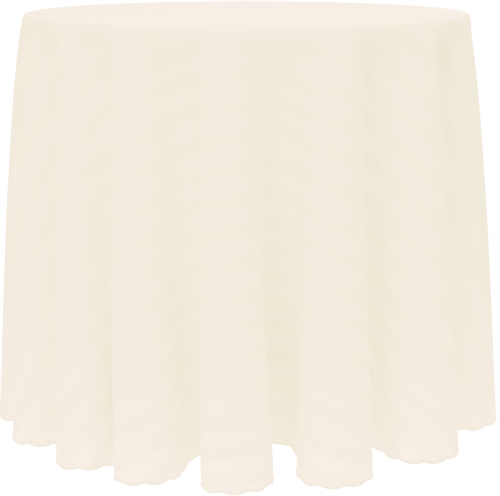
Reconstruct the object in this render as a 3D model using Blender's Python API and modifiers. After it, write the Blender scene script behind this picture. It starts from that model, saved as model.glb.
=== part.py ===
"""Round pedestal table under a floor-length round tablecloth.

Metres, +Z up. The origin is on the floor, on the column's axis, and the front
of the cloth faces -Y. Azimuths are degrees from the front (-Y) towards +X.
"""
import math

import bmesh
import bpy
from mathutils import Vector

# ---------------------------------------------------------------- dimensions
ASSEMBLY = "tablecloth_on_table"

TOUCH_GAP = 0.0003          # between pieces that touch
THREAD_GAP = 0.0004         # round a screw, stem or rod in its hole

# Table top: core board, laminate above, backing below, moulding round the edge
TABLE_RADIUS = 0.405
TABLE_HEIGHT = 0.7485
CORE_THICKNESS = 0.022
LAMINATE_THICKNESS = 0.0008
BACKING_THICKNESS = 0.0006
MOULDING_FACE = 0.004
MOULDING_CROWN = 0.0015
TONGUE_LENGTH = 0.008
TONGUE_THICKNESS = 0.002
TOP_SEGMENTS = 60

# Cloth: laid over the top, its skirt hanging in folds almost to the floor
CLOTH_THICKNESS = 0.0012
CLOTH_EDGE_GAP = 0.0005
EDGE_BEND = 0.0027          # outer radius where the cloth turns down
HEM_HEIGHT = 0.019
FOLD_GROWTH = 0.62          # a fold reaches out as this power of its depth
VALLEY_GAP = 0.006          # below the board by this much, valleys turn in
FOLD_DEPTH_PER_DEGREE = 0.0088
FOLD_DEPTH_LIMIT = 0.180
FOLD_COLUMNS = 8
SKIRT_DEPTHS = (0.10, 0.19, 0.32, 0.50, 0.74, 1.0)
# Each fold's azimuth, and how far it stands out past the table at the hem
FOLDS = (
    (-90.0, 0.082), (-73.0, 0.076), (-56.5, 0.090), (-36.7, 0.096),
    (-22.8, 0.093), (-2.0, 0.090), (17.0, 0.093), (43.3, 0.090),
    (66.5, 0.092), (89.0, 0.088), (111.0, 0.086), (133.5, 0.090),
    (156.0, 0.087), (179.0, 0.090), (201.5, 0.088), (224.0, 0.090),
    (246.5, 0.086),
)
EDGING_RADIUS = 0.0011
LABEL_SIZE = (0.030, 0.036)
LABEL_THICKNESS = 0.0005
LABEL_HEM_GAP = 0.006
LABEL_FOLD = 13             # the fold whose flank carries the label
LABEL_COLUMN = 2

# Top spider, the casting that carries the board
SPIDER_REACH = 0.250
SPIDER_ARM_WIDTH = 0.036
SPIDER_ARM_THICKNESS = 0.007
SPIDER_RIB_WIDTH = 0.008
SPIDER_RIB_DEPTH = 0.018
SPIDER_HUB_HEIGHT = 0.042
SCREW_RADII = (0.110, 0.225)
SCREW_RADIUS = 0.0024
SCREW_BITE = 0.014
SCREW_HEAD_RADIUS = 0.0047
SCREW_HEAD_HEIGHT = 0.0026

# Column and the rod that pulls spider, column and base together
COLUMN_RADIUS = 0.038
COLUMN_WALL = 0.002
SOCKET_GAP = 0.0005
SOCKET_DEPTH = 0.018
HUB_WALL = 0.009
HUB_WEB = 0.008
ROD_RADIUS = 0.006
NUT_ACROSS_FLATS = 0.018
NUT_HEIGHT = 0.010
WASHER_RADIUS = 0.013
WASHER_THICKNESS = 0.0025
POCKET_GAP = 0.003
ROD_END = 0.0015            # rod shown past each nut

# Base casting with four arms
ARM_AZIMUTHS = (45.0, 135.0, 225.0, 315.0)
BASE_HUB_HEIGHT = 0.078
ARM_ROOT_WIDTH = 0.046
ARM_ROOT_HEIGHT = 0.046
ARM_TIP_WIDTH = 0.028
ARM_TIP_HEIGHT = 0.014
ARM_WALL = 0.006
BOSS_RADIUS = 0.017
BOSS_HEIGHT = 0.022
SKIRT_CLEARANCE = 0.022

# Levelling glides
PAD_RADIUS = 0.016
PAD_HEIGHT = 0.011
PAD_EDGE = 0.002
STEM_RADIUS = 0.004
STEM_LENGTH = 0.034
STEM_BALL_RADIUS = 0.0052
BALL_SOCKET_GAP = 0.0004
BALL_STEPS = 3

# ------------------------------------------------------------ derived places
CLOTH_TOP = TABLE_HEIGHT + TOUCH_GAP + CLOTH_THICKNESS
CLOTH_EDGE = TABLE_RADIUS + CLOTH_EDGE_GAP + CLOTH_THICKNESS
SKIRT_DROP = CLOTH_TOP - EDGE_BEND - HEM_HEIGHT

LAMINATE_BOTTOM = TABLE_HEIGHT - LAMINATE_THICKNESS
CORE_TOP = LAMINATE_BOTTOM - TOUCH_GAP
CORE_BOTTOM = CORE_TOP - CORE_THICKNESS
BACKING_TOP = CORE_BOTTOM - TOUCH_GAP
BACKING_BOTTOM = BACKING_TOP - BACKING_THICKNESS
CORE_MIDDLE = (CORE_TOP + CORE_BOTTOM) / 2
CORE_RADIUS = TABLE_RADIUS - MOULDING_FACE - TOUCH_GAP

SPIDER_TOP = BACKING_BOTTOM - TOUCH_GAP
SPIDER_BOTTOM = SPIDER_TOP - SPIDER_HUB_HEIGHT
SOCKET_RADIUS = COLUMN_RADIUS + SOCKET_GAP
HUB_RADIUS = SOCKET_RADIUS + HUB_WALL
SPIDER_WEB_TOP = SPIDER_BOTTOM + SOCKET_DEPTH + HUB_WEB
POCKET_RADIUS = WASHER_RADIUS + POCKET_GAP

BASE_BOTTOM = PAD_HEIGHT + TOUCH_GAP
BASE_WEB_TOP = BASE_HUB_HEIGHT - SOCKET_DEPTH
BASE_WEB_BOTTOM = BASE_WEB_TOP - HUB_WEB
COLUMN_BOTTOM = BASE_WEB_TOP + TOUCH_GAP
COLUMN_TOP = SPIDER_BOTTOM + SOCKET_DEPTH - TOUCH_GAP
ROD_HOLE_RADIUS = ROD_RADIUS + THREAD_GAP

VALLEY_START = (CLOTH_TOP - EDGE_BEND - BACKING_BOTTOM + VALLEY_GAP) / SKIRT_DROP

# ------------------------------------------------------------------- helpers


def clear_scene():
    """Remove every object that is in the scene."""
    for item in list(bpy.data.objects):
        bpy.data.objects.remove(item, do_unlink=True)


def new_collection(name):
    """Make a collection in the scene."""
    collection = bpy.data.collections.new(name)
    bpy.context.scene.collection.children.link(collection)
    return collection


def make_material(name, colour, roughness, metallic=0.0):
    """Make a Principled material."""
    material = bpy.data.materials.new(name)
    material.use_nodes = True
    shader = material.node_tree.nodes["Principled BSDF"]
    shader.inputs["Base Color"].default_value = (*colour, 1.0)
    shader.inputs["Roughness"].default_value = roughness
    shader.inputs["Metallic"].default_value = metallic
    material.diffuse_color = (*colour, 1.0)
    return material


def add_object(name, mesh, material, collection):
    """Put a mesh in the scene as a named object."""
    item = bpy.data.objects.new(name, mesh)
    if material:
        mesh.materials.append(material)
    collection.objects.link(item)
    return item


def mesh_from(bm, name, smooth_angle=None):
    """Turn a bmesh into a mesh, smooth up to an angle in degrees."""
    mesh = bpy.data.meshes.new(name)
    bm.to_mesh(mesh)
    bm.free()
    if smooth_angle is not None:
        mesh.shade_smooth()
        mesh.set_sharp_from_angle(angle=math.radians(smooth_angle))
    return mesh


def along(azimuth, radius, height=0.0):
    """A point at an azimuth from the front, a radius and a height."""
    angle = math.radians(azimuth)
    return Vector((radius * math.sin(angle), -radius * math.cos(angle), height))


def turned(name, profile, material, collection, segments, closed=False):
    """Turn a profile of (radius, z) points, outer side first, round Z."""
    mesh = bpy.data.meshes.new(name)
    points = [(radius, 0.0, height) for radius, height in profile]
    edges = [(index, index + 1) for index in range(len(points) - 1)]
    if closed:
        edges.append((len(points) - 1, 0))
    mesh.from_pydata(points, edges, [])
    item = add_object(name, mesh, material, collection)
    screw = item.modifiers.new("turn", "SCREW")
    screw.axis = "Z"
    screw.angle = math.tau
    screw.steps = segments
    screw.render_steps = segments
    screw.use_merge_vertices = True
    screw.merge_threshold = 0.00001
    screw.use_smooth_shade = False
    return item


def cylinder_mesh(name, radius, low, high, segments, place=(0.0, 0.0)):
    """A capped cylinder along Z."""
    bm = bmesh.new()
    bmesh.ops.create_cone(
        bm, cap_ends=True, segments=segments, radius1=radius, radius2=radius,
        depth=high - low)
    middle = Vector((place[0], place[1], (low + high) / 2))
    bmesh.ops.translate(bm, verts=bm.verts, vec=middle)
    return mesh_from(bm, name, 35)


def add_boolean(item, other, operation):
    """Cut another object out of this one, or join it on."""
    boolean = item.modifiers.new(operation.lower() + "_" + other.name, "BOOLEAN")
    boolean.operation = operation
    boolean.solver = "EXACT"
    boolean.object = other


def add_cutter(name, mesh, cutters):
    """Make a helper object that only shapes other objects."""
    cutter = add_object(name, mesh, None, cutters)
    cutter.hide_render = True
    cutter.display_type = "WIRE"
    return cutter


def cut_cylinder(item, cutters, radius, low, high, segments=16, place=(0.0, 0.0)):
    """Drill a round hole along Z."""
    name = "%s_hole_%d" % (item.name, len(item.modifiers))
    mesh = cylinder_mesh(name, radius, low, high, segments, place)
    add_boolean(item, add_cutter(name, mesh, cutters), "DIFFERENCE")


def beam_mesh(name, azimuth, start, end, widths, lows, highs):
    """A tapering bar that runs outwards, its two ends given as pairs."""
    bm = bmesh.new()
    bmesh.ops.create_cube(bm, size=1.0)
    outwards = along(azimuth, 1.0)
    sideways = along(azimuth + 90.0, 1.0)
    for vert in bm.verts:
        tip = 1 if vert.co.x > 0 else 0
        distance = (start, end)[tip]
        height = highs[tip] if vert.co.z > 0 else lows[tip]
        side = widths[tip] / 2 * (1 if vert.co.y > 0 else -1)
        vert.co = outwards * distance + sideways * side + Vector((0, 0, height))
    return mesh_from(bm, name)


# --------------------------------------------------------------------- cloth


def fold_gaps():
    """Each pair of neighbouring folds, with the angle between them."""
    pairs = []
    for index, (azimuth, reach) in enumerate(FOLDS):
        next_azimuth, next_reach = FOLDS[(index + 1) % len(FOLDS)]
        if index == len(FOLDS) - 1:
            next_azimuth += 360.0
        pairs.append((azimuth, next_azimuth, reach, next_reach))
    return pairs


def valley_reach(gap):
    """How far the valley between two folds stands out at the hem."""
    azimuth, next_azimuth, reach, next_reach = gap
    depth = FOLD_DEPTH_PER_DEGREE * (next_azimuth - azimuth)
    return min(reach, next_reach) - min(depth, FOLD_DEPTH_LIMIT)


def skirt_offset(gap, share, depth):
    """How far the skirt stands out from the table's edge.

    share runs from one fold to the next and depth from the edge to the hem.
    """
    reach = gap[2] + (gap[3] - gap[2]) * share
    crest = 0.5 + 0.5 * math.sin(math.pi / 2 * math.cos(math.tau * share))
    outwards = reach * depth ** FOLD_GROWTH
    turn_in = max(0.0, depth - VALLEY_START)
    inwards = valley_reach(gap) * turn_in ** FOLD_GROWTH
    return inwards + (outwards - inwards) * crest


def skirt_ring(depth, outer):
    """One ring of the skirt, FOLD_COLUMNS points from each fold to the next."""
    points = []
    for gap in fold_gaps():
        for column in range(FOLD_COLUMNS):
            share = column / FOLD_COLUMNS
            azimuth = gap[0] + (gap[1] - gap[0]) * share
            offset = skirt_offset(gap, share, depth)
            height = CLOTH_TOP - EDGE_BEND - SKIRT_DROP * depth
            points.append(along(azimuth, outer + offset, height))
    return points


def round_ring(radius, height):
    """One ring of the flat top or of the bend over the edge."""
    points = []
    for gap in fold_gaps():
        for column in range(FOLD_COLUMNS):
            azimuth = gap[0] + (gap[1] - gap[0]) * column / FOLD_COLUMNS
            points.append(along(azimuth, radius, height))
    return points


def cloth_rings():
    """The cloth's outer face, ring by ring from the flat top to the hem."""
    rings = []
    for angle in (0.0, 45.0, 90.0):
        lean = math.radians(angle)
        radius = CLOTH_EDGE - EDGE_BEND * (1.0 - math.sin(lean))
        height = CLOTH_TOP - EDGE_BEND * (1.0 - math.cos(lean))
        rings.append(round_ring(radius, height))
    for depth in (VALLEY_START, *SKIRT_DEPTHS):
        rings.append(skirt_ring(depth, CLOTH_EDGE))
    return rings


def make_tablecloth(material, collection):
    """The cloth: one flat top, a bend and a folded skirt, given a thickness."""
    bm = bmesh.new()
    rings = [[bm.verts.new(point) for point in ring] for ring in cloth_rings()]
    bm.faces.new(rings[0])
    count = len(rings[0])
    for upper, lower in zip(rings, rings[1:]):
        for column in range(count):
            beside = (column + 1) % count
            bm.faces.new((upper[column], lower[column], lower[beside], upper[beside]))
    mesh = bpy.data.meshes.new("tablecloth")
    bm.to_mesh(mesh)
    bm.free()
    mesh.shade_smooth()
    cloth = add_object("tablecloth", mesh, material, collection)
    shell = cloth.modifiers.new("thickness", "SOLIDIFY")
    shell.thickness = CLOTH_THICKNESS
    shell.offset = -1.0
    return cloth


def make_hem_edging(material, collection):
    """The overlocked thread that binds the hem, hung just under the cloth."""
    curve = bpy.data.curves.new("hem_edging", "CURVE")
    curve.dimensions = "3D"
    curve.bevel_depth = EDGING_RADIUS
    curve.bevel_resolution = 0
    hem = skirt_ring(1.0, CLOTH_EDGE - CLOTH_THICKNESS / 2)
    below = Vector((0.0, 0.0, -TOUCH_GAP - EDGING_RADIUS))
    spline = curve.splines.new("POLY")
    spline.points.add(len(hem) - 1)
    for point, place in zip(spline.points, hem):
        point.co = (*(place + below), 1.0)
    spline.use_cyclic_u = True
    curve.materials.append(material)
    edging = bpy.data.objects.new("hem_edging", curve)
    collection.objects.link(edging)
    return edging


def make_care_label(material, collection):
    """A blank label that lies inside one flat of the skirt, just above the hem."""
    column = LABEL_FOLD * FOLD_COLUMNS + LABEL_COLUMN
    above, hem = cloth_rings()[-2:]
    left, right = hem[column], hem[column + 1]
    up = ((above[column] + above[column + 1]) / 2 - (left + right) / 2).normalized()
    across = (right - left).normalized()
    inwards = up.cross(across).normalized()
    if inwards.dot(left) > 0:
        inwards = -inwards
    across = up.cross(inwards).normalized()
    lift = CLOTH_THICKNESS + 2 * TOUCH_GAP + LABEL_THICKNESS / 2
    centre = (left + right) / 2 + up * (LABEL_HEM_GAP + LABEL_SIZE[1] / 2)
    centre += inwards * lift
    bm = bmesh.new()
    bmesh.ops.create_cube(bm, size=1.0)
    for vert in bm.verts:
        offset = across * vert.co.x * LABEL_SIZE[0]
        offset += up * vert.co.y * LABEL_SIZE[1]
        offset += inwards * vert.co.z * LABEL_THICKNESS
        vert.co = centre + offset
    return add_object("care_label", mesh_from(bm, "care_label"), material, collection)


# ----------------------------------------------------------------- table top


def screw_places():
    """Where the wood screws go, two on each arm of the spider."""
    places = []
    for azimuth in ARM_AZIMUTHS:
        for radius in SCREW_RADII:
            places.append(along(azimuth, radius))
    return places


def make_core_board(material, collection, cutters):
    """The board, with a groove for the moulding and holes for the screws."""
    groove = TONGUE_THICKNESS / 2 + TOUCH_GAP
    groove_floor = CORE_RADIUS - TONGUE_LENGTH - TOUCH_GAP
    profile = [
        (0.0, CORE_TOP),
        (CORE_RADIUS, CORE_TOP),
        (CORE_RADIUS, CORE_MIDDLE + groove),
        (groove_floor, CORE_MIDDLE + groove),
        (groove_floor, CORE_MIDDLE - groove),
        (CORE_RADIUS, CORE_MIDDLE - groove),
        (CORE_RADIUS, CORE_BOTTOM),
        (0.0, CORE_BOTTOM),
    ]
    board = turned("top_core_board", profile, material, collection, TOP_SEGMENTS)
    for place in screw_places():
        cut_cylinder(
            board, cutters, SCREW_RADIUS + THREAD_GAP, CORE_BOTTOM - 0.002,
            CORE_BOTTOM + SCREW_BITE, 10, place.xy)
    return board


def make_laminate(material, collection):
    """The thin laminate on top of the board."""
    profile = [
        (0.0, TABLE_HEIGHT),
        (CORE_RADIUS, TABLE_HEIGHT),
        (CORE_RADIUS, LAMINATE_BOTTOM),
        (0.0, LAMINATE_BOTTOM),
    ]
    return turned("top_laminate", profile, material, collection, TOP_SEGMENTS)


def make_backing(material, collection, cutters):
    """The backing sheet under the board, pierced by the screws."""
    profile = [
        (0.0, BACKING_TOP),
        (CORE_RADIUS, BACKING_TOP),
        (CORE_RADIUS, BACKING_BOTTOM),
        (0.0, BACKING_BOTTOM),
    ]
    sheet = turned("top_backing_sheet", profile, material, collection, TOP_SEGMENTS)
    for place in screw_places():
        cut_cylinder(
            sheet, cutters, SCREW_RADIUS + THREAD_GAP, BACKING_BOTTOM - 0.002,
            BACKING_TOP + 0.002, 10, place.xy)
    return sheet


def make_edge_moulding(material, collection):
    """The T-shaped edge moulding, its tongue in the board's groove."""
    inner = CORE_RADIUS + TOUCH_GAP
    tongue_end = CORE_RADIUS - TONGUE_LENGTH
    half = TONGUE_THICKNESS / 2
    shoulder = TABLE_RADIUS - MOULDING_CROWN
    profile = [
        (inner, TABLE_HEIGHT),
        (shoulder, TABLE_HEIGHT),
        (TABLE_RADIUS, TABLE_HEIGHT - 2 * MOULDING_CROWN),
        (TABLE_RADIUS, BACKING_BOTTOM + 2 * MOULDING_CROWN),
        (shoulder, BACKING_BOTTOM),
        (inner, BACKING_BOTTOM),
        (inner, CORE_MIDDLE - half),
        (tongue_end, CORE_MIDDLE - half),
        (tongue_end, CORE_MIDDLE + half),
        (inner, CORE_MIDDLE + half),
    ]
    return turned(
        "edge_moulding", profile, material, collection, TOP_SEGMENTS, closed=True)


# --------------------------------------------------------- spider and screws


def make_spider(material, collection, cutters):
    """The top casting: a hub with a socket, and four ribbed arms."""
    spider = add_object(
        "top_spider",
        cylinder_mesh("top_spider", HUB_RADIUS, SPIDER_BOTTOM, SPIDER_TOP, 40),
        material, collection)
    arm_low = SPIDER_TOP - SPIDER_ARM_THICKNESS
    rib_low = arm_low - SPIDER_RIB_DEPTH
    hub_inside = HUB_RADIUS * 0.8
    for azimuth in ARM_AZIMUTHS:
        arm = beam_mesh(
            "spider_arm_%d" % azimuth, azimuth, hub_inside, SPIDER_REACH,
            (SPIDER_ARM_WIDTH, SPIDER_ARM_WIDTH), (arm_low, arm_low),
            (SPIDER_TOP, SPIDER_TOP))
        add_boolean(spider, add_cutter(arm.name, arm, cutters), "UNION")
        rib_end = SCREW_RADII[1] - 3 * SCREW_HEAD_RADIUS
        rib_start = SCREW_RADII[0] + 2 * SCREW_HEAD_RADIUS
        rib = beam_mesh(
            "spider_rib_%d" % azimuth, azimuth, rib_start, rib_end,
            (SPIDER_RIB_WIDTH, SPIDER_RIB_WIDTH), (rib_low, arm_low - TOUCH_GAP),
            (SPIDER_TOP - 0.001, SPIDER_TOP - 0.001))
        add_boolean(spider, add_cutter(rib.name, rib, cutters), "UNION")
    cut_cylinder(
        spider, cutters, SOCKET_RADIUS, SPIDER_BOTTOM - 0.01,
        SPIDER_BOTTOM + SOCKET_DEPTH, 40)
    cut_cylinder(spider, cutters, POCKET_RADIUS, SPIDER_WEB_TOP, SPIDER_TOP + 0.01, 24)
    cut_cylinder(spider, cutters, ROD_HOLE_RADIUS, SPIDER_BOTTOM, SPIDER_TOP, 16)
    for place in screw_places():
        cut_cylinder(
            spider, cutters, SCREW_RADIUS + THREAD_GAP, arm_low - 0.002,
            SPIDER_TOP + 0.002, 10, place.xy)
    return spider


def make_spider_screws(material, collection):
    """Pan-head wood screws up through the spider into the board."""
    head_top = SPIDER_TOP - SPIDER_ARM_THICKNESS - TOUCH_GAP
    head_bottom = head_top - SCREW_HEAD_HEIGHT
    tip = CORE_BOTTOM + SCREW_BITE - 2 * TOUCH_GAP
    profile = [
        (0.0, tip),
        (SCREW_RADIUS, tip - 2 * SCREW_RADIUS),
        (SCREW_RADIUS, head_top),
        (SCREW_HEAD_RADIUS, head_top),
        (SCREW_HEAD_RADIUS, head_bottom + SCREW_HEAD_HEIGHT / 2),
        (SCREW_HEAD_RADIUS * 0.6, head_bottom),
        (0.0, head_bottom),
    ]
    for number, place in enumerate(screw_places(), 1):
        screw = turned("spider_screw_%d" % number, profile, material, collection, 10)
        screw.location = place


# ------------------------------------------------------------ column and rod


def make_column(material, collection):
    """The steel tube between the base's socket and the spider's."""
    inner = COLUMN_RADIUS - COLUMN_WALL
    profile = [
        (COLUMN_RADIUS, COLUMN_TOP),
        (COLUMN_RADIUS, COLUMN_BOTTOM),
        (inner, COLUMN_BOTTOM),
        (inner, COLUMN_TOP),
    ]
    return turned("column_tube", profile, material, collection, 40, closed=True)


def make_washer(name, low, material, collection):
    """A flat washer on the rod."""
    high = low + WASHER_THICKNESS
    profile = [
        (WASHER_RADIUS, high),
        (WASHER_RADIUS, low),
        (ROD_HOLE_RADIUS, low),
        (ROD_HOLE_RADIUS, high),
    ]
    return turned(name, profile, material, collection, 20, closed=True)


def make_nut(name, low, material, collection, cutters):
    """A hexagon nut on the rod."""
    across_corners = NUT_ACROSS_FLATS / math.cos(math.pi / 6)
    mesh = cylinder_mesh(name, across_corners / 2, low, low + NUT_HEIGHT, 6)
    nut = add_object(name, mesh, material, collection)
    cut_cylinder(
        nut, cutters, ROD_HOLE_RADIUS, low - 0.002, low + NUT_HEIGHT + 0.002, 16)
    return nut


def make_tie_rod(material, collection, cutters):
    """The threaded rod with a washer and a nut at each end."""
    upper_washer = SPIDER_WEB_TOP + TOUCH_GAP
    upper_nut = upper_washer + WASHER_THICKNESS + TOUCH_GAP
    lower_washer = BASE_WEB_BOTTOM - TOUCH_GAP - WASHER_THICKNESS
    lower_nut = lower_washer - TOUCH_GAP - NUT_HEIGHT
    low = lower_nut - ROD_END
    high = upper_nut + NUT_HEIGHT + ROD_END
    mesh = cylinder_mesh("tie_rod", ROD_RADIUS, low, high, 16)
    add_object("tie_rod", mesh, material, collection)
    make_washer("upper_washer", upper_washer, material, collection)
    make_nut("upper_nut", upper_nut, material, collection, cutters)
    make_washer("lower_washer", lower_washer, material, collection)
    make_nut("lower_nut", lower_nut, material, collection, cutters)


# ----------------------------------------------------------- base and glides


def glide_radius():
    """Where the arms end, kept clear of the skirt's deepest valley."""
    deepest = min(valley_reach(gap) for gap in fold_gaps())
    skirt_inside = CLOTH_EDGE + deepest - CLOTH_THICKNESS
    return skirt_inside - SKIRT_CLEARANCE - BOSS_RADIUS


def make_base(material, collection, cutters):
    """The base casting: a hub with a socket, four hollow arms and bosses."""
    base = add_object(
        "base_casting",
        cylinder_mesh("base_casting", HUB_RADIUS, BASE_BOTTOM, BASE_HUB_HEIGHT, 40),
        material, collection)
    reach = glide_radius()
    start = HUB_RADIUS * 0.6
    for azimuth in ARM_AZIMUTHS:
        arm = beam_mesh(
            "base_arm_%d" % azimuth, azimuth, start, reach,
            (ARM_ROOT_WIDTH, ARM_TIP_WIDTH), (BASE_BOTTOM, BASE_BOTTOM),
            (BASE_BOTTOM + ARM_ROOT_HEIGHT, BASE_BOTTOM + ARM_TIP_HEIGHT))
        add_boolean(base, add_cutter(arm.name, arm, cutters), "UNION")
        boss = cylinder_mesh(
            "base_boss_%d" % azimuth, BOSS_RADIUS, BASE_BOTTOM,
            BASE_BOTTOM + BOSS_HEIGHT, 20, along(azimuth, reach).xy)
        add_boolean(base, add_cutter(boss.name, boss, cutters), "UNION")
    for azimuth in ARM_AZIMUTHS:
        hollow = beam_mesh(
            "base_hollow_%d" % azimuth, azimuth, HUB_RADIUS + ARM_WALL / 2,
            reach - BOSS_RADIUS - ARM_WALL,
            (ARM_ROOT_WIDTH - 2 * ARM_WALL, ARM_TIP_WIDTH - 2 * ARM_WALL),
            (BASE_BOTTOM - 0.01, BASE_BOTTOM - 0.01),
            (BASE_BOTTOM + ARM_ROOT_HEIGHT - 2 * ARM_WALL,
             BASE_BOTTOM + ARM_TIP_HEIGHT - ARM_WALL))
        add_boolean(base, add_cutter(hollow.name, hollow, cutters), "DIFFERENCE")
        cut_cylinder(
            base, cutters, STEM_RADIUS + THREAD_GAP, BASE_BOTTOM - 0.01,
            BASE_BOTTOM + BOSS_HEIGHT + 0.01, 16, along(azimuth, reach).xy)
    cut_cylinder(
        base, cutters, SOCKET_RADIUS, BASE_WEB_TOP, BASE_HUB_HEIGHT + 0.01, 40)
    cut_cylinder(base, cutters, POCKET_RADIUS, BASE_BOTTOM - 0.01, BASE_WEB_BOTTOM, 24)
    cut_cylinder(base, cutters, ROD_HOLE_RADIUS, BASE_BOTTOM, BASE_HUB_HEIGHT, 16)
    return base


def ball_profile(radius, centre):
    """The outer side of a ball from its equator down to just off its lowest point."""
    points = []
    for step in range(BALL_STEPS):
        angle = math.radians(90.0 * step / BALL_STEPS)
        points.append((radius * math.cos(angle), centre - radius * math.sin(angle)))
    return points


def make_glide(number, azimuth, steel, nylon, collection):
    """A swivelling foot: a nylon pad snapped on a threaded stem's ball."""
    place = along(azimuth, glide_radius())
    neck = PAD_HEIGHT - TOUCH_GAP
    ball_centre = neck - math.sqrt(STEM_BALL_RADIUS ** 2 - STEM_RADIUS ** 2)
    stem_top = PAD_HEIGHT + STEM_LENGTH
    stem_profile = [(0.0, stem_top), (STEM_RADIUS, stem_top), (STEM_RADIUS, neck)]
    stem_profile += ball_profile(STEM_BALL_RADIUS, ball_centre)
    stem_profile.append((0.0, ball_centre - STEM_BALL_RADIUS))
    stem = turned("glide_%d_stem" % number, stem_profile, steel, collection, 12)
    stem.location = place

    socket = STEM_BALL_RADIUS + BALL_SOCKET_GAP
    mouth = math.sqrt(socket ** 2 - (PAD_HEIGHT - ball_centre) ** 2)
    pad_profile = [(0.0, ball_centre - socket)]
    pad_profile += list(reversed(ball_profile(socket, ball_centre)))
    pad_profile += [(mouth, PAD_HEIGHT), (PAD_RADIUS - PAD_EDGE, PAD_HEIGHT)]
    pad_profile += [(PAD_RADIUS, PAD_HEIGHT - PAD_EDGE), (PAD_RADIUS, PAD_EDGE / 2)]
    pad_profile += [(PAD_RADIUS - PAD_EDGE / 2, 0.0), (0.0, 0.0)]
    pad = turned("glide_%d_pad" % number, pad_profile, nylon, collection, 16)
    pad.location = place


# --------------------------------------------------------------------- build


def build():
    """Make every piece of the table and its cloth."""
    clear_scene()
    parts = new_collection(ASSEMBLY)
    cutters = new_collection("cutters")

    linen = make_material("ivory_cloth", (0.84, 0.81, 0.73), 0.62)
    thread = make_material("ivory_thread", (0.88, 0.86, 0.79), 0.55)
    tape = make_material("label_tape", (0.90, 0.89, 0.86), 0.60)
    chipboard = make_material("chipboard", (0.62, 0.47, 0.30), 0.85)
    laminate = make_material("laminate", (0.55, 0.38, 0.24), 0.35)
    backing = make_material("backing", (0.30, 0.26, 0.22), 0.60)
    vinyl = make_material("vinyl_moulding", (0.06, 0.06, 0.06), 0.45)
    casting = make_material("black_casting", (0.035, 0.035, 0.035), 0.55)
    tube = make_material("black_tube", (0.04, 0.04, 0.04), 0.35)
    zinc = make_material("zinc_steel", (0.62, 0.62, 0.60), 0.35, 1.0)
    nylon = make_material("grey_nylon", (0.16, 0.16, 0.16), 0.60)

    make_tablecloth(linen, parts)
    make_hem_edging(thread, parts)
    make_care_label(tape, parts)
    make_core_board(chipboard, parts, cutters)
    make_laminate(laminate, parts)
    make_backing(backing, parts, cutters)
    make_edge_moulding(vinyl, parts)
    make_spider(casting, parts, cutters)
    make_spider_screws(zinc, parts)
    make_column(tube, parts)
    make_tie_rod(zinc, parts, cutters)
    make_base(casting, parts, cutters)
    for number, azimuth in enumerate(ARM_AZIMUTHS, 1):
        make_glide(number, azimuth, zinc, nylon, parts)


build()
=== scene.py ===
"""A floor-length ivory tablecloth on a round pedestal table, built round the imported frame.

Metres, +Z up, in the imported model's own frame: the column stands on the Z axis
and the front of the cloth faces -Y. Azimuths are degrees from the front towards +X.
"""

import math

import bpy
import numpy as np
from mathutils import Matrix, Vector


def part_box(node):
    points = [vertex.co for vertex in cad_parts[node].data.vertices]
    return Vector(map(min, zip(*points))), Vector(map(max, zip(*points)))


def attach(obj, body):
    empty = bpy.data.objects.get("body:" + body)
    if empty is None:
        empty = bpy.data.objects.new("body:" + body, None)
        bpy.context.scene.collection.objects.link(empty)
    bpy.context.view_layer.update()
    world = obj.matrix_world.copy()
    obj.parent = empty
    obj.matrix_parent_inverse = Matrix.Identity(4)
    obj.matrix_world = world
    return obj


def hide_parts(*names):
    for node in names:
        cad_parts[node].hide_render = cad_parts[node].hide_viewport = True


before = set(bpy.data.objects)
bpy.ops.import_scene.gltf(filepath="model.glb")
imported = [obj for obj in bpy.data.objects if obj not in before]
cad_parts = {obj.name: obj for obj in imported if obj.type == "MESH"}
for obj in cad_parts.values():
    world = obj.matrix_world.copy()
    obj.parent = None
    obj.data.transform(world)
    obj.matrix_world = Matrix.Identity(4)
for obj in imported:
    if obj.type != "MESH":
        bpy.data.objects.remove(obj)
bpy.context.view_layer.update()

# ------------------------------------------------------------------ the cloth
CUT_RADIUS = 1.143          # the round cloth as it was cut
CLOTH_THICKNESS = 0.0007
EDGE_GAP = 0.0005           # between the table's edge and the cloth
EDGE_BEND = 0.0030          # radius at which the cloth turns down over the edge
SCALLOPS = 160
SCALLOP_DEPTH = 0.0045
CUT_SPAN = 2.4              # flat cloth across the UV square

# Each fold's crest: its azimuth at the table's edge, its azimuth at the hem, how
# far it stands out past the edge there, and how far the valley after it leans
# towards the next fold
FOLDS = (
    (-90.0, -90.0, 0.080, 0.0), (-79.0, -73.5, 0.078, 0.0), (-65.0, -57.0, 0.092, 0.016),
    (-46.5, -38.3, 0.097, 0.022), (-28.5, -23.7, 0.093, 0.020), (-6.0, -3.5, 0.092, 0.010),
    (20.5, 19.5, 0.093, 0.0), (45.5, 45.5, 0.091, -0.012), (69.5, 70.5, 0.090, 0.0),
    (96.5, 92.0, 0.086, 0.0), (118.0, 114.5, 0.088, 0.012), (139.0, 136.0, 0.090, 0.0),
    (161.5, 160.0, 0.086, -0.015), (183.0, 182.0, 0.090, 0.010), (205.0, 204.0, 0.088, 0.0),
    (226.0, 226.0, 0.090, 0.014), (248.5, 248.0, 0.084, 0.0),
)
FOLD_GROWTH = 0.66          # a fold reaches out as this power of its depth
CREST_BREADTH = 0.28        # how much more cloth goes into crests than valleys

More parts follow.
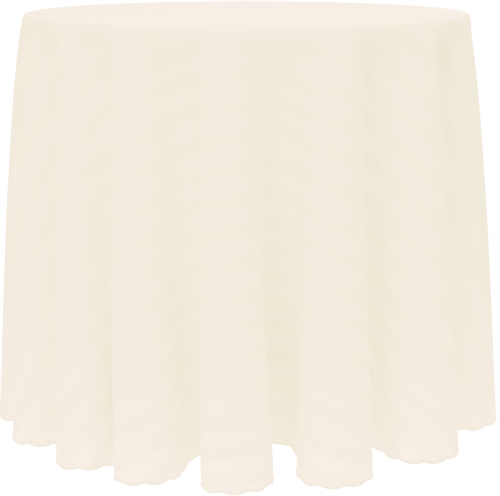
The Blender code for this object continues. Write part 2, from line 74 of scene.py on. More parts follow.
# ------------------------------------------------- how it is laid and let hang
COLUMNS = 480
SKIRT_ROWS = 60
BEND_ROWS = 3
PINNED_ROWS = 2             # on the table top, just inside the bend
PIN_STEP = 0.012            # between pinned rows
HELD_ROWS = PINNED_ROWS + BEND_ROWS + 1     # the skirt's first row is the last one held
EASED_ROWS = 2.0            # rows over which springs come to their flat lengths
ROW_CROWDING = 0.5          # rows lie closer together just under the edge
EDGE_MARGIN = 0.007         # the cloth keeps clear of the edge this far below the board
LAID_FALL = 0.992           # height a sloping skirt falls for its length
HANG_STRETCH = 1.009        # how much its own weight lets the skirt down
SUBSTEPS = 700
SUBSTEP = 1.0 / 1000.0
GRAVITY = 9.81
DAMPING = 0.985
HOLD = 0.006                # how firmly the folds are kept where they were laid
# Springs: rows apart, columns apart, and how soft each one is
SPRINGS = (
    (0, 1, 0.0), (1, 0, 0.0), (1, 1, 4.0), (1, -1, 4.0),
    (0, 2, 200.0), (0, 4, 400.0), (2, 0, 15.0),
)
SHARPEST_TURN = 2.4         # of a meander from its chord, in radians
TURN_TABLE = 241            # turns looked up, from none to the sharpest
MEANDER_SAMPLES = 400       # along a whole meander, for the lookup
VALLEY_STEPS = 200          # along one valley from crest to crest
FIT_STEPS = 30
TINY = 1e-9

# ------------------------------------------------------- from drape to meshes
FINER = 3                   # columns of the mesh to one of the drape
EASE_TURNS = 4              # rounds of smoothing
TOP_RINGS = (0.08, 0.20, 0.32)
MESH_BEND_ROWS = 5
MESH_SKIRT_ROWS = 54
EDGING_ALONG = 0.0011       # the overlocked edge's half size down the cloth
EDGING_THROUGH = 0.0008     # and through it
EDGING_SIDES = 8
LABEL_ROWS = 5
LABEL_COLUMNS = 6
LABEL_STANDOFF = 0.0016     # from the cloth's outer face to the label
LABEL_THICKNESS = 0.0003

# ---------------------------------------------------------- looks of the cloth
BAND_PERIOD = 0.049         # one satin band and one matte band
BAND_WANDER = 0.016
THREAD_PERIOD = 0.0006
# The ivory of both bands is the cloth's own colour; the satin bands' lighter colour is painted
# sheen
MATTE = (0.795, 0.780, 0.702)
SATIN_SHEEN_COLOR = (0.912, 0.895, 0.826)
CLOUDED = (0.830, 0.815, 0.735)
MATTE_ROUGHNESS = 0.80
SATIN_ROUGHNESS = 0.50
STITCHES = 2800             # overlock stitches round the hem
STITCH_SLANT = 0.0006
# Painted shade: the overlock thread is darkened for the shade along the hem, darkest between
# stitches
STITCH_SHADE_DARK = (0.30, 0.30, 0.26)
STITCH_SHADE_PALE = (0.52, 0.51, 0.45)
TAPE_RIB = 0.0008

# ---------------------------------------------------- camera, light and tones
CAMERA_DISTANCE = 2.445
CAMERA_HEIGHT = 0.8885
CAMERA_PITCH = 13.5
CAMERA_PAN = 0.13
LENS = 93.8
WHITE = 1.0                 # the room and floor as the camera sees them
ROOM_LIGHT = 0.18
FLOOR_HALF = 0.75
FLOOR_DROP = 0.0005         # below the feet
FLOOR_PALE = 0.9
FLOOR_GLOW = 0.42
# Each soft light: name, place, what it points at, size and power
LIGHTS = (
    ("key", (-2.1, -4.3, 2.0), (0.0, 0.0, 0.35), 2.2, 50.0),
    ("fill", (2.6, -3.8, 1.4), (0.0, 0.0, 0.35), 2.6, 3.0),
    ("above", (0.3, -0.6, 3.6), (0.0, 0.0, 0.7), 2.6, 58.0),
    ("back", (0.5, 4.6, 1.8), (0.0, 0.0, 0.35), 3.2, 21.0),
)
# A bright, low-contrast picture: where each channel's tone curve passes
TONES = (
    ((0, 0), (0.02, 0.06), (0.08, 0.590), (0.19, 0.806), (0.33, 0.870), (0.60, 0.918),
     (0.85, 0.950), (1, 1)),
    ((0, 0), (0.02, 0.06), (0.08, 0.560), (0.19, 0.778), (0.32, 0.824), (0.59, 0.840),
     (0.84, 0.905), (1, 1)),
    ((0, 0), (0.02, 0.05), (0.08, 0.455), (0.18, 0.645), (0.31, 0.712), (0.56, 0.768),
     (0.82, 0.850), (1, 1)),
)

# ------------------------------------- the table's edge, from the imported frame
board_low, board_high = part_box("edge_moulding")
TOP_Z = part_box("tablecloth")[1].z
BOARD_BOTTOM = board_low.z
EDGE_RADIUS = (board_high.x - board_low.x) / 2 + EDGE_GAP + CLOTH_THICKNESS
# Cut radii at which the bend and the skirt begin
BEND_START = EDGE_RADIUS - EDGE_BEND
SKIRT_START = BEND_START + EDGE_BEND * math.pi / 2
SKIRT_LENGTH = CUT_RADIUS - SKIRT_START


# ----------------------------------------------------------- laying the folds


def fold_tables():
    """The folds as arrays: start, hem, reach, share of the cloth and lean of each."""
    start = np.radians([fold[0] for fold in FOLDS])
    hem = np.radians([fold[1] for fold in FOLDS])
    reach = np.array([fold[2] for fold in FOLDS])
    share = np.diff(np.append(start, start[0] + math.tau))
    lean = np.array([fold[3] for fold in FOLDS])
    return start, hem, reach, share, lean


def lagged(spot):
    """Slows a fold's phase at its crest and hurries it through the valley."""
    return spot - CREST_BREADTH * np.sin(math.tau * spot) / math.tau


def meander_tables():
    """For a meander: its chord and its depth as shares of its length."""
    turns = np.linspace(0.0, SHARPEST_TURN, TURN_TABLE)
    phase = lagged((np.arange(MEANDER_SAMPLES) + 0.5) / MEANDER_SAMPLES)
    heading = turns[:, None] * np.sin(math.tau * phase)[None, :]
    chords = np.cos(heading).mean(axis=1)
    depths = np.sin(heading[:, :MEANDER_SAMPLES // 2]).mean(axis=1) / 2
    return turns, chords, depths


def fitted_turn(crest, width, length, meanders):
    """How sharply a meander of that length turns to fit its width, and its middle distance."""
    turns, chords, depths = meanders
    middle = crest
    for _ in range(FIT_STEPS):
        chord = min(1.0, middle * width / length)
        turn = np.interp(-chord, -chords, turns)
        middle = crest - length * np.interp(turn, turns, depths) / 2
    return turn, middle


def ring_of_folds(radius, drop, angles, folds, meanders):
    """Azimuth and distance from the axis of one ring that hangs in smooth meanders."""
    start, hem, reach, share, lean = folds
    growth = drop ** FOLD_GROWTH
    crest_at = start + (hem - start) * drop
    width = np.diff(np.append(crest_at, crest_at[0] + math.tau))
    steps = np.linspace(0.0, 1.0, VALLEY_STEPS + 1)
    passed = (angles - start[0]) % math.tau
    valley = np.searchsorted(start - start[0], passed, side="right") - 1
    along = (passed - (start - start[0])[valley]) / share[valley]
    across = np.zeros(len(angles))
    out = np.zeros(len(angles))
    for index in range(len(FOLDS)):
        after = (index + 1) % len(FOLDS)
        mine = valley == index
        spot = along[mine]
        length = radius * share[index]
        crest = EDGE_RADIUS + growth * (reach[index] + reach[after]) / 2
        turn, middle = fitted_turn(crest, width[index], length, meanders)
        heading = turn * np.sin(math.tau * lagged(steps))
        side = np.concatenate(([0.0], np.cumsum(np.cos(heading)[:-1])))
        fall = np.concatenate(([0.0], np.cumsum(np.sin(heading)[:-1]))) * length / VALLEY_STEPS
        top = EDGE_RADIUS + growth * (reach[index] + (reach[after] - reach[index]) * spot)
        depth = np.interp(spot, steps, fall)
        across[mine] = crest_at[index] + np.interp(spot, steps, side / side[-1]) * width[index]
        across[mine] += lean[index] * drop * depth / fall.max() / middle
        out[mine] = top - depth
    return across, out


def starting_drape(radii, angles):
    """A first guess at the hanging cloth, ring by ring."""
    folds = fold_tables()
    meanders = meander_tables()
    places = np.zeros((len(radii), len(angles), 3))
    for row, radius in enumerate(radii):
        across = angles
        out = np.full(len(angles), radius)
        height = TOP_Z
        if radius > SKIRT_START - TINY:
            drop = radius - SKIRT_START
            across, out = ring_of_folds(radius, drop / SKIRT_LENGTH, angles, folds, meanders)
            height = TOP_Z - EDGE_BEND - drop * LAID_FALL
            if height > BOARD_BOTTOM - EDGE_MARGIN:
                wave = (out - out.min()) / (out.max() - out.min())
                out = EDGE_RADIUS + wave * (out.max() - EDGE_RADIUS)
        elif radius > BEND_START:
            bend = (radius - BEND_START) / EDGE_BEND
            out = np.full(len(angles), BEND_START + EDGE_BEND * math.sin(bend))
            height = TOP_Z - EDGE_BEND * (1.0 - math.cos(bend))
        places[row] = np.stack(
            (out * np.sin(across), -out * np.cos(across), np.full(len(angles), height)), -1)
    return places


# --------------------------------------------------------- letting it hang


def spring_plans(flat, laid):
    """Each spring family in two halves that share no point, with its lengths at rest.

    They are the flat lengths, except near the edge, where cloth too full for so
    small a ring is taken up in the weave and keeps the lengths it was laid at.
    """
    rows, columns, _ = flat.shape
    flatness = np.clip((np.arange(rows) - HELD_ROWS) / EASED_ROWS, 0.0, 1.0)
    plans = []
    for down, over, soften in SPRINGS:
        for half in (0, 1):
            upper = np.arange(rows - down)
            here = np.arange(columns)
            if down:
                upper = upper[(upper // down) % 2 == half]
            else:
                here = here[(here // over) % 2 == half]
            first = np.ix_(upper, here)
            second = np.ix_(upper + down, (here + over) % columns)
            rest = np.linalg.norm(flat[second] - flat[first], axis=-1)
            kept = np.linalg.norm(laid[second] - laid[first], axis=-1)
            share = flatness[upper][:, None]
            rest = rest * share + kept * (1.0 - share)
            plans.append((first, second, rest * (HANG_STRETCH if down else 1.0), soften))
    return plans


def pull_springs(places, free, plans):
    """Bring every spring back towards its length, each end by how free it is."""
    for first, second, rest, soften in plans:
        start = places[first]
        end = places[second]
        gap = end - start
        length = np.sqrt((gap * gap).sum(axis=-1))
        amount = (length - rest) / (length * (free[first] + free[second] + soften) + 1e-12)
        shift = gap * amount[..., None]
        places[first] = start + shift * free[first][..., None]
        places[second] = end - shift * free[second][..., None]


def keep_off_table(places):
    """Push hanging points out of the table top."""
    distance = np.hypot(places[..., 0], places[..., 1])
    beside = (distance < EDGE_RADIUS) & (places[..., 2] > BOARD_BOTTOM - EDGE_MARGIN)
    scale = np.where(beside, EDGE_RADIUS / np.maximum(distance, TINY), 1.0)
    places[..., :2] *= scale[..., None]


def relax(places, radii, angles):
    """Let the cloth hang: springs, gravity and the table, the folds lightly held.

    No point hangs further from the edge than the cloth above it is long.
    """
    flat = np.stack(
        (radii[:, None] * np.sin(angles), radii[:, None] * np.cos(angles)), -1)
    plans = spring_plans(flat, places)
    laid = places[..., :2].copy()
    free = np.ones(places.shape[:2])
    free[:HELD_ROWS] = 0.0
    anchor = places[HELD_ROWS - 1].copy()
    tether = HANG_STRETCH * (radii[HELD_ROWS:] - radii[HELD_ROWS - 1])[:, None]
    velocity = np.zeros_like(places)
    for _ in range(SUBSTEPS):
        velocity[..., 2] -= GRAVITY * SUBSTEP
        velocity *= DAMPING
        before = places.copy()
        places += velocity * SUBSTEP * free[..., None]
        pull_springs(places, free, plans)
        places[..., :2] += HOLD * free[..., None] * (laid - places[..., :2])
        reach = places[HELD_ROWS:] - anchor
        length = np.sqrt((reach * reach).sum(axis=-1))
        places[HELD_ROWS:] = anchor + reach * np.minimum(1.0, tether / length)[..., None]
        keep_off_table(places[HELD_ROWS:])
        velocity = (places - before) / SUBSTEP
    return places


def smooth_columns(places):
    """Ease out creases finer than a few columns, most of all just under the edge."""
    rows = places.shape[0]
    for turn in range(EASE_TURNS):
        reached = int(rows * (1.0 - turn / EASE_TURNS) ** 2) + 1
        part = places[:reached]
        part += 0.25 * (np.roll(part, 1, axis=1) + np.roll(part, -1, axis=1) - 2 * part)


# ------------------------------------------------------- the drape made finer


def cubic(before, start, end, after, share):
    """Catmull-Rom between start and end."""
    return 0.5 * (
        2 * start + (end - before) * share
        + (2 * before - 5 * start + 4 * end - after) * share ** 2
        + (3 * start - before - 3 * end + after) * share ** 3)


def finer_columns(places):
    """Smoothly add columns between those of the drape."""
    before = np.roll(places, 1, axis=1)
    end = np.roll(places, -1, axis=1)
    after = np.roll(places, -2, axis=1)
    parts = [cubic(before, places, end, after, k / FINER) for k in range(FINER)]
    return np.stack(parts, axis=2).reshape(places.shape[0], -1, 3)


def at_radii(places, radii, wanted):
    """Points of the cloth at the wanted cut radius of each column, row by row."""
    slopes = np.gradient(places, radii, axis=0)
    index = np.clip(np.searchsorted(radii, wanted) - 1, 0, len(radii) - 2)
    columns = np.arange(places.shape[1])[None, :].repeat(wanted.shape[0], 0)
    span = radii[index + 1] - radii[index]
    t = ((wanted - radii[index]) / span)[..., None]
    span = span[..., None]
    start = places[index, columns]
    end = places[index + 1, columns]
    lead = slopes[index, columns] * span
    tail = slopes[index + 1, columns] * span
    return (
        (2 * t ** 3 - 3 * t ** 2 + 1) * start + (t ** 3 - 2 * t ** 2 + t) * lead
        + (3 * t ** 2 - 2 * t ** 3) * end + (t ** 3 - t ** 2) * tail)


def crowded(shares):
    """Shares of the skirt's length, closer together near the table's edge."""
    return shares * (ROW_CROWDING + (1.0 - ROW_CROWDING) * shares)


def hem_radius(angles):
    """The cut's scalloped edge: a shallow round tongue to each scallop."""
    tongue = 2.0 * ((angles * SCALLOPS / math.tau) % 1.0) - 1.0
    return CUT_RADIUS - SCALLOP_DEPTH * tongue ** 2


def hang_cloth():
    """The relaxed drape: its points row by row, and each row's cut radius."""
    shares = np.linspace(0.0, 1.0, SKIRT_ROWS + 1)
    skirt = SKIRT_START + SKIRT_LENGTH * crowded(shares)
    bend = np.linspace(BEND_START, SKIRT_START, BEND_ROWS + 1)[:-1]
    pinned = BEND_START - PIN_STEP * np.arange(PINNED_ROWS, 0, -1)
    radii = np.concatenate((pinned, bend, skirt))
    angles = np.arange(COLUMNS) * math.tau / COLUMNS
    places = relax(starting_drape(radii, angles), radii, angles)
    smooth_columns(places)
    return places, radii


def drape():
    """The cloth on a fine grid, with each point's cut radius and each column's angle."""
    places, radii = hang_cloth()
    angles = np.arange(COLUMNS * FINER) * math.tau / (COLUMNS * FINER)
    shares = crowded(np.linspace(0.0, 1.0, MESH_SKIRT_ROWS + 1)[1:])
    skirt = SKIRT_START + shares[:, None] * (hem_radius(angles) - SKIRT_START)[None, :]
    bend = np.linspace(BEND_START, SKIRT_START, MESH_BEND_ROWS)[:, None].repeat(len(angles), 1)
    lower = np.concatenate((bend, skirt))
    hanging = at_radii(finer_columns(places), radii, lower)
    flat = np.array(TOP_RINGS)[:, None].repeat(len(angles), 1)
    top = np.stack((flat * np.sin(angles), -flat * np.cos(angles), np.full_like(flat, TOP_Z)), -1)
    return np.concatenate((top, hanging)), np.concatenate((flat, lower)), angles


# ------------------------------------------------------------------ soft pieces


def add_object(name, points, faces):
    """A smooth mesh object in the scene."""
    mesh = bpy.data.meshes.new(name)
    mesh.from_pydata(points.reshape(-1, 3).tolist(), [], faces)
    mesh.shade_smooth()
    item = bpy.data.objects.new(name, mesh)
    bpy.context.scene.collection.objects.link(item)
    return item


def set_uvs(item, corners):
    """The UV map OFBake, a pair to each face corner."""
    layer = item.data.uv_layers.new(name="OFBake")
    layer.data.foreach_set("uv", corners.astype(np.float32).ravel())


def thicken(item, thickness, offset):
    """Give a sheet its real thickness: behind its face at offset -1, both ways at 0."""
    shell = item.modifiers.new("thickness", "SOLIDIFY")
    shell.thickness = thickness
    shell.offset = offset


def unit(vectors):
    """Each vector at length 1."""
    return vectors / np.linalg.norm(vectors, axis=-1, keepdims=True)


def make_cloth(places, radii, angles):
    """The cloth, with its flat cut as UVs."""
    rows, columns, _ = places.shape
    index = np.arange(rows * columns).reshape(rows, columns)
    beside = np.roll(index, -1, axis=1)
    faces = np.stack([index[:-1], index[1:], beside[1:], beside[:-1]], -1)
    faces = faces.reshape(-1, 4).tolist()
    faces.append(index[0].tolist())
    cloth = add_object("draped_cloth", places, faces)
    cut = np.stack((radii * np.sin(angles), -radii * np.cos(angles)), -1) / CUT_SPAN + 0.5
    corners = np.zeros(len(cloth.data.loops), dtype=np.int32)
    cloth.data.loops.foreach_get("vertex_index", corners)
    set_uvs(cloth, cut.reshape(-1, 2)[corners])
    thicken(cloth, CLOTH_THICKNESS, -1.0)
    return cloth


def make_edging(places):
    """The overlocked thread that wraps the scalloped hem."""
    hem = places[-1]
    down = unit(hem - places[-3])
    ahead = unit(np.roll(hem, -1, axis=0) - np.roll(hem, 1, axis=0))
    through = unit(np.cross(ahead, down))
    turns = np.arange(EDGING_SIDES) * math.tau / EDGING_SIDES
    sides = [
        hem + EDGING_ALONG * math.cos(turn) * down + EDGING_THROUGH * math.sin(turn) * through
        for turn in turns]
    count = len(hem)
    index = np.arange(count * EDGING_SIDES).reshape(count, EDGING_SIDES)
    after = np.roll(index, -1, axis=0)
    beside = np.roll(index, -1, axis=1)
    faces = np.stack([index, after, np.roll(after, -1, axis=1), beside], -1).reshape(-1, 4)
    edging = add_object("overlocked_hem", np.stack(sides, axis=1), faces.tolist())
    row, side = np.divmod(np.arange(count * EDGING_SIDES), EDGING_SIDES)
    along = np.stack((row, row + 1, row + 1, row), -1) / count
    round_it = np.stack((side, side, side + 1, side + 1), -1) / EDGING_SIDES
    set_uvs(edging, np.stack((along, round_it), -1))
    return edging


def make_label(places):
    """The blank care label on the inside, at the hem where the CAD label is."""
    low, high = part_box("care_label")
    aim = np.array((low + high) / 2)
    distance = np.linalg.norm(places[-LABEL_ROWS // 2, :] - aim, axis=-1)
    half = LABEL_COLUMNS // 2
    across = (int(distance.argmin()) + np.arange(-half, half + 1)) % places.shape[1]
    patch = places[-LABEL_ROWS - 1:-1][:, across]
    inward = unit(np.cross(np.gradient(patch, axis=1), np.gradient(patch, axis=0)))
    patch = patch + inward * LABEL_STANDOFF
    rows, columns, _ = patch.shape
    index = np.arange(rows * columns).reshape(rows, columns)
    faces = np.stack([index[:-1, :-1], index[1:, :-1], index[1:, 1:], index[:-1, 1:]], -1)
    label = add_object("blank_label", patch, faces.reshape(-1, 4).tolist())
    thicken(label, LABEL_THICKNESS, 0.0)
    return label


# ------------------------------------------------------------------- materials


class Nodes:
    """Short calls for building one material's nodes."""

    def __init__(self, name):
        self.material = bpy.data.materials.new(name)
        self.material.use_nodes = True
        self.tree = self.material.node_tree
        self.shader = self.tree.nodes["Principled BSDF"]

    def add(self, kind, inputs=None, **settings):
        """A node with its settings, and its inputs joined or set."""
        node = self.tree.nodes.new(kind)
        for key, value in settings.items():
            setattr(node, key, value)
        for key, value in (inputs or {}).items():
            self.join(value, node.inputs[key])
        return node

    def join(self, value, socket):
        """Link a socket, or set a plain value."""
        if isinstance(value, bpy.types.NodeSocket):
            self.tree.links.new(value, socket)
        else:
            socket.default_value = value

    def math(self, operation, *values):
        """One sum."""
        node = self.add("ShaderNodeMath", operation=operation)
        for socket, value in zip(node.inputs, values):
            self.join(value, socket)
        return node.outputs[0]

    def noise(self, vector, scale, detail=3.0, roughness=0.5):
        """Smooth noise from 0 to 1."""
        node = self.add(
            "ShaderNodeTexNoise",
            {"Vector": vector, "Scale": scale, "Detail": detail, "Roughness": roughness})
        return node.outputs["Fac"]

    def ramp(self, value, low, high, to_low=0.0, to_high=1.0):
        """A value moved from one range to another."""
        node = self.add(
            "ShaderNodeMapRange",
            {"Value": value, "From Min": low, "From Max": high,
             "To Min": to_low, "To Max": to_high})
        return node.outputs[0]

    def mix(self, share, first, second):
        """A colour between two colours."""
        node = self.add("ShaderNodeMix", data_type="RGBA")
        self.join(share, node.inputs[0])
        self.join((*first, 1.0) if isinstance(first, tuple) else first, node.inputs[6])
        self.join((*second, 1.0) if isinstance(second, tuple) else second, node.inputs[7])
        return node.outputs[2]

    def bump(self, height, distance, strength=1.0, under=None):
        """A bumped normal, on top of another if one is given."""
        node = self.add(
            "ShaderNodeBump", {"Height": height, "Distance": distance, "Strength": strength})
        if under is not None:
            self.join(under, node.inputs["Normal"])
        return node.outputs["Normal"]

    def split(self, vector):
        """A vector's X, Y and Z."""
        return self.add("ShaderNodeSeparateXYZ", {"Vector": vector}).outputs

    def stretch(self, vector, by):
        """A vector times another, axis by axis."""
        node = self.add("ShaderNodeVectorMath", {0: vector, 1: by}, operation="MULTIPLY")
        return node.outputs[0]

    def finish(self, **inputs):
        """The material, once the shader's inputs are joined or set."""
        for key, value in inputs.items():
            self.join(value, self.shader.inputs[key.replace("_", " ")])
        return self.material


def bake_uv(nodes):
    """The piece's own UVs."""
    return nodes.add("ShaderNodeUVMap", uv_map="OFBake").outputs["UV"]


def object_place(nodes):
    """A point's place on the object itself."""
    return nodes.add("ShaderNodeTexCoord").outputs["Object"]


def stripe_mask(nodes, place):
    """1 on the satin bands and 0 on the matte ones, with gently waving edges."""
    wander = nodes.ramp(
        nodes.noise(place, 9.0, 1.0), 0.0, 1.0, -BAND_WANDER, BAND_WANDER)
    level = nodes.math("ADD", nodes.split(place)[1], wander)
    wave = nodes.math("SINE", nodes.math("MULTIPLY", level, math.tau / BAND_PERIOD))
    return nodes.ramp(wave, -0.3, 0.3)


def woven(nodes, place, pitch):
    """The height of a plain weave of that thread pitch."""
    ways = nodes.split(place)
    waves = [
        nodes.math("SINE", nodes.math("MULTIPLY", ways[axis], math.tau / pitch))
        for axis in (0, 1)]
    return nodes.math("MULTIPLY", *waves)


def cloth_material():
    """Ivory damask: satin bands between matte bands, both woven; the satin bands are painted
    lighter, as painted sheen.
    """
    nodes = Nodes("ivory_damask")
    place = nodes.stretch(bake_uv(nodes), (CUT_SPAN, CUT_SPAN, 0.0))
    satin = stripe_mask(nodes, place)
    cloud = nodes.ramp(nodes.noise(place, 16.0, 4.0, 0.6), 0.35, 0.65, 0.0, 0.30)
    slub = nodes.noise(place, 900.0, 2.0)
    weave = nodes.math("MULTIPLY", woven(nodes, place, THREAD_PERIOD), 0.5)
    fine = nodes.bump(nodes.math("ADD", weave, slub), 0.00006, 0.35)
    gloss = nodes.ramp(satin, 0.0, 1.0, MATTE_ROUGHNESS, SATIN_ROUGHNESS)
    return nodes.finish(
        # painted sheen: the satin bands are coloured lighter than the matte ones
        Base_Color=nodes.mix(cloud, nodes.mix(satin, MATTE, SATIN_SHEEN_COLOR), CLOUDED),
        Roughness=nodes.math("ADD", gloss, nodes.ramp(slub, 0.0, 1.0, -0.04, 0.04)),
        Normal=nodes.bump(nodes.noise(place, 26.0, 3.0), 0.0012, 0.35, under=fine),
        Sheen_Weight=0.08, Sheen_Roughness=0.45, Specular_IOR_Level=0.28)


def edging_material():
    """Overlocked thread: small slanting stitches side by side, painted dark as shade along the hem
    and darker between stitches.
    """
    nodes = Nodes("overlock_thread")
    ways = nodes.split(bake_uv(nodes))
    along = nodes.math("ADD", ways[0], nodes.math("MULTIPLY", ways[1], STITCH_SLANT))
    stitch = nodes.math("SINE", nodes.math("MULTIPLY", along, math.tau * STITCHES))
    fuzz = nodes.noise(object_place(nodes), 700.0, 3.0)
    height = nodes.math("ADD", nodes.math("MULTIPLY", stitch, 0.5), fuzz)
    return nodes.finish(
        # painted shade: the thread darkened overall and most in the dips between stitches
        Base_Color=nodes.mix(nodes.ramp(stitch, -1.0, 1.0), STITCH_SHADE_DARK, STITCH_SHADE_PALE),
        Roughness=nodes.ramp(fuzz, 0.0, 1.0, 0.55, 0.75),
        Normal=nodes.bump(height, 0.0003, 0.8), Sheen_Weight=0.15, Sheen_Roughness=0.40)


def label_material():
    """A blank satin tape with a fine rib."""
    nodes = Nodes("blank_tape")
    place = object_place(nodes)
    rib = woven(nodes, place, TAPE_RIB)
    return nodes.finish(
        Base_Color=nodes.mix(nodes.noise(place, 120.0), (0.80, 0.80, 0.76), (0.90, 0.90, 0.86)),
        Roughness=nodes.ramp(rib, -1.0, 1.0, 0.45, 0.60),
        Normal=nodes.bump(rib, 0.0001, 0.5), Sheen_Weight=0.10)


def chipboard_material():
    """Raw chipboard: flakes of several browns."""
    nodes = Nodes("raw_chipboard")
    place = object_place(nodes)
    flakes = nodes.add("ShaderNodeTexVoronoi", {"Vector": place, "Scale": 260.0})
    shade = nodes.mix(
        nodes.noise(flakes.outputs["Color"], 3.0), (0.36, 0.23, 0.11), (0.66, 0.50, 0.31))
    return nodes.finish(
        Base_Color=shade, Roughness=nodes.ramp(nodes.noise(place, 90.0), 0.0, 1.0, 0.75, 0.95),
        Normal=nodes.bump(flakes.outputs["Distance"], 0.0004, 0.6))


def laminate_material():
    """Wood-tone laminate: long grain under a smooth face."""
    nodes = Nodes("wood_tone_laminate")
    grain = nodes.noise(nodes.stretch(object_place(nodes), (2.0, 34.0, 10.0)), 3.0, 8.0, 0.65)
    shade = nodes.mix(nodes.ramp(grain, 0.3, 0.7), (0.20, 0.105, 0.048), (0.40, 0.24, 0.13))
    return nodes.finish(
        Base_Color=shade, Roughness=nodes.ramp(grain, 0.0, 1.0, 0.28, 0.42),
        Normal=nodes.bump(grain, 0.0001, 0.4))


def backing_material():
    """Matte brown backing sheet with a faint fibre."""
    nodes = Nodes("brown_backing")
    place = object_place(nodes)
    fibre = nodes.noise(place, 240.0, 5.0, 0.7)
    blotch = nodes.noise(place, 14.0, 3.0)
    shade = nodes.mix(
        nodes.math("MULTIPLY", fibre, blotch), (0.050, 0.038, 0.028), (0.155, 0.118, 0.086))
    return nodes.finish(
        Base_Color=shade, Roughness=nodes.ramp(blotch, 0.0, 1.0, 0.65, 0.85),
        Normal=nodes.bump(fibre, 0.0001, 0.5))


def coated_material(name, dark, pale, grain, depth, rough):
    """A moulded or powder-coated skin: a fine grain and slightly uneven gloss."""
    nodes = Nodes(name)
    place = object_place(nodes)
    worn = nodes.noise(place, 18.0, 4.0, 0.6)
    return nodes.finish(
        Base_Color=nodes.mix(worn, dark, pale),
        Roughness=nodes.ramp(worn, 0.2, 0.8, rough - 0.08, rough + 0.10),
        Normal=nodes.bump(nodes.noise(place, grain, 3.0), depth, 0.6))


def zinc_material():
    """Zinc plate: a bright skin with a faint blue and yellow bloom."""
    nodes = Nodes("zinc_plate")
    place = object_place(nodes)
    shade = nodes.mix(nodes.noise(place, 130.0, 3.0), (0.46, 0.47, 0.50), (0.66, 0.63, 0.56))
    return nodes.finish(
        Base_Color=shade, Roughness=nodes.ramp(nodes.noise(place, 420.0), 0.0, 1.0, 0.24, 0.46),
        Normal=nodes.bump(nodes.noise(place, 900.0), 0.00005, 0.5), Metallic=1.0)


def dress_frame():
    """Give every CAD node that still shows its finished material, slot by slot."""
    finishes = {
        "core": chipboard_material(),
        "laminate": laminate_material(),
        "backing": backing_material(),
        "moulding": coated_material(
            "black_vinyl", (0.010, 0.010, 0.010), (0.024, 0.023, 0.022), 1400.0, 0.0001, 0.42),
        "casting": coated_material(
            "cast_powder_coat", (0.008, 0.008, 0.008), (0.026, 0.025, 0.024), 420.0, 0.0005, 0.52),
        "tube": coated_material(
            "tube_powder_coat", (0.009, 0.009, 0.009), (0.022, 0.022, 0.022), 900.0, 0.0002, 0.40),
        "zinc": zinc_material(),
        "nylon": coated_material(
            "grey_nylon", (0.050, 0.050, 0.050), (0.085, 0.085, 0.083), 800.0, 0.0002, 0.55),
    }
    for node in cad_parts.values():
        for place in node.material_slots:
            if place.material.name in finishes:
                place.material = finishes[place.material.name]


# -------------------------------------------------------- camera, floor, light


def set_tones():
    """Picture tones by one curve to a channel."""
    view = bpy.context.scene.view_settings
    view.view_transform = "Standard"
    view.use_curve_mapping = True
    for curve, tones in zip(view.curve_mapping.curves, TONES):
        curve.points[0].location = tones[0]
        curve.points[1].location = tones[-1]
        for tone in tones[1:-1]:
            curve.points.new(*tone)
        for point in curve.points:
            point.handle_type = "AUTO_CLAMPED"
    view.curve_mapping.update()


def make_camera():
    """The camera in front, a little above the table top."""
    data = bpy.data.cameras.new("camera")
    data.lens = LENS
    data.sensor_width = 36.0
    camera = bpy.data.objects.new("camera", data)
    camera.location = (0.0, -CAMERA_DISTANCE, CAMERA_HEIGHT)
    camera.rotation_euler = (
        math.radians(90.0 - CAMERA_PITCH), 0.0, math.radians(-CAMERA_PAN))
    bpy.context.scene.collection.objects.link(camera)
    bpy.context.scene.camera = camera


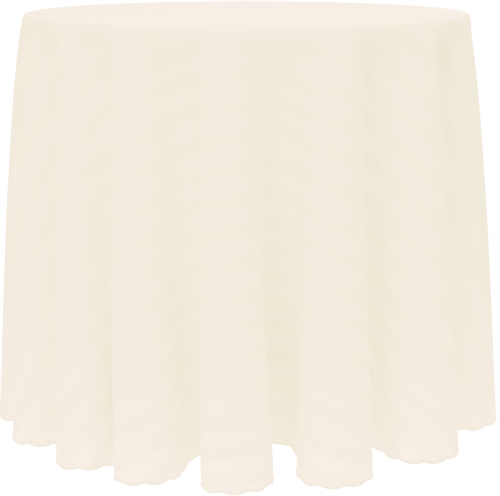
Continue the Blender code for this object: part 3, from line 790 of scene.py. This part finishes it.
def seen_as_white(tree, lit, plain, output):
    """The camera sees plain white; everything else meets the lit shader."""
    seen = tree.nodes.new(plain)
    seen.inputs["Color"].default_value = (1.0, 1.0, 1.0, 1.0)
    seen.inputs["Strength"].default_value = WHITE
    path = tree.nodes.new("ShaderNodeLightPath")
    either = tree.nodes.new("ShaderNodeMixShader")
    tree.links.new(path.outputs["Is Camera Ray"], either.inputs[0])
    tree.links.new(lit.outputs[0], either.inputs[1])
    tree.links.new(seen.outputs[0], either.inputs[2])
    tree.links.new(either.outputs[0], tree.nodes[output].inputs["Surface"])


def make_floor():
    """A plain white floor that lights the skirt from below."""
    corners = np.array(((-1, -1, 0), (1, -1, 0), (1, 1, 0), (-1, 1, 0))) * FLOOR_HALF
    floor = add_object("floor", corners, [(0, 1, 2, 3)])
    floor.location.z = -FLOOR_DROP
    nodes = Nodes("white_floor")
    floor.data.materials.append(nodes.finish(
        Base_Color=(FLOOR_PALE, FLOOR_PALE, FLOOR_PALE, 1.0), Roughness=0.9,
        Emission_Color=(1.0, 1.0, 1.0, 1.0), Emission_Strength=FLOOR_GLOW))
    seen_as_white(nodes.tree, nodes.shader, "ShaderNodeEmission", "Material Output")


def make_room():
    """An even white room."""
    world = bpy.data.worlds.new("white_room")
    world.use_nodes = True
    room = world.node_tree.nodes["Background"]
    room.inputs["Color"].default_value = (1.0, 1.0, 1.0, 1.0)
    room.inputs["Strength"].default_value = ROOM_LIGHT
    seen_as_white(world.node_tree, room, "ShaderNodeBackground", "World Output")
    bpy.context.scene.world = world


def make_lights():
    """Large soft lights in front, above and behind."""
    for name, place, target, size, power in LIGHTS:
        data = bpy.data.lights.new(name, "AREA")
        data.shape = "DISK"
        data.size = size
        data.energy = power
        light = bpy.data.objects.new(name, data)
        light.location = place
        aim = Vector(target) - Vector(place)
        light.rotation_euler = aim.to_track_quat("-Z", "Y").to_euler()
        bpy.context.scene.collection.objects.link(light)


set_tones()
make_camera()
make_floor()
make_room()
make_lights()
dress_frame()
cloth_places, cloth_radii, cloth_angles = drape()
cloth = make_cloth(cloth_places, cloth_radii, cloth_angles)
edging = make_edging(cloth_places)
label = make_label(cloth_places)
for piece, node, slot, material in (
        (cloth, "tablecloth", "cloth", cloth_material()),
        (edging, "hem_edging", "edging", edging_material()),
        (label, "care_label", "label", label_material())):
    piece.data.materials.append(material)
    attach(piece, "root")
    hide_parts(node)
